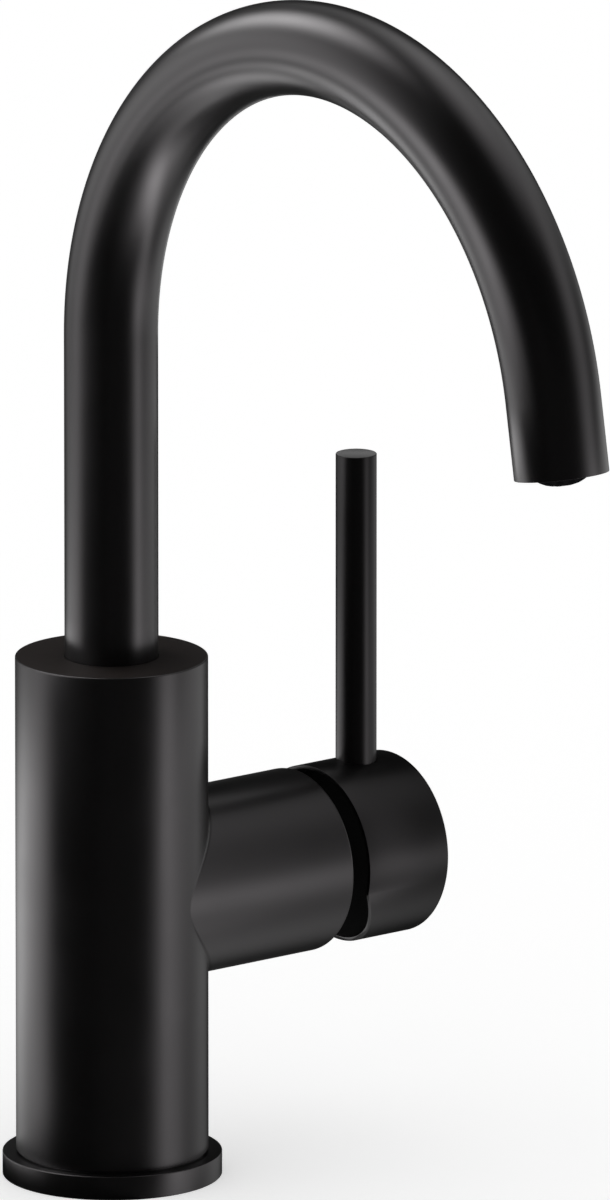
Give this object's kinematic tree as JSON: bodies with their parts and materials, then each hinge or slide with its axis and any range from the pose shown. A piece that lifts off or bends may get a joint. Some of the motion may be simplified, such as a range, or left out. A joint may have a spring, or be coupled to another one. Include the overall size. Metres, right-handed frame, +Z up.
{
  "type": "gooseneck bar faucet",
  "caption": "Single-lever gooseneck bar faucet: upright body, swivelling high-arc spout, side housing with rod handle, threaded shank for deck mounting.",
  "frame": {"origin": "on the faucet's vertical axis, where the shank passes the top of the deck", "axes": "+Z up along the body; the spout points to -Y; the handle housing points to +X"},
  "size_m": [0.1108, 0.2007, 0.354],
  "materials": {
    "black_finish": "matte black coating on brass, fine satin grain",
    "brass": "machined, bare",
    "stainless": "fine brushed",
    "black_rubber": "moulded, matt",
    "natural_nylon": "moulded acetal, slightly glossy",
    "graphite_plastic": "moulded, fine grain",
    "ceramic": "lapped alumina, satin"
  },
  "bodies": {
    "faucet": {"base_ring": "black_finish", "base_gasket": "black_rubber", "faucet_body": "black_finish", "shank": "brass", "deck_gasket": "black_rubber", "deck_washer": "stainless", "mounting_nut": "brass", "clamp_screws": "stainless", "glide_ring": "natural_nylon", "retaining_clip": "stainless", "cartridge_base": "natural_nylon", "cartridge_seals": "black_rubber", "disc_fixed": "ceramic", "cartridge_shell": "graphite_plastic", "retaining_nut": "brass", "bonnet_cap": "graphite_plastic"},
    "spout": {"spout_tube": "black_finish", "spout_adapter": "brass", "spout_orings": "black_rubber", "outlet_bushing": "brass", "aerator_insert": "graphite_plastic", "aerator_screen": "stainless", "aerator_washer": "black_rubber"},
    "rotor": {"cartridge_rotor": "natural_nylon", "pivot_pin": "stainless"},
    "disc": {"disc_moving": "ceramic", "disc_carrier": "graphite_plastic"},
    "lever": {"lever_stem": "stainless", "handle_hub": "black_finish", "handle_rod": "black_finish", "hub_setscrew": "stainless", "setscrew_plug": "graphite_plastic"}
  },
  "joints": [
    {"name": "spout_swivel", "type": "hinge", "parent": "faucet", "child": "spout", "pos_m": [0, 0, 0.1], "axis": [0, 0, 1], "continuous": true},
    {"name": "handle_turn", "type": "hinge", "parent": "faucet", "child": "rotor", "pos_m": [0.045, 0, 0.0663], "axis": [1, 0, 0], "range_deg": [-45, 45]},
    {"name": "handle_lift", "type": "hinge", "parent": "rotor", "child": "lever", "pos_m": [0.045, 0, 0.0663], "axis": [0, 1, 0], "range_deg": [0, 24]},
    {"name": "disc_slide", "type": "slide", "parent": "rotor", "child": "disc", "axis": [0, 0, 1], "range_m": [0, 0.0057]}
  ],
  "couplings": [
    {"joint": "disc_slide", "follows": "handle_lift", "m_per_rad": 0.01359}
  ]
}
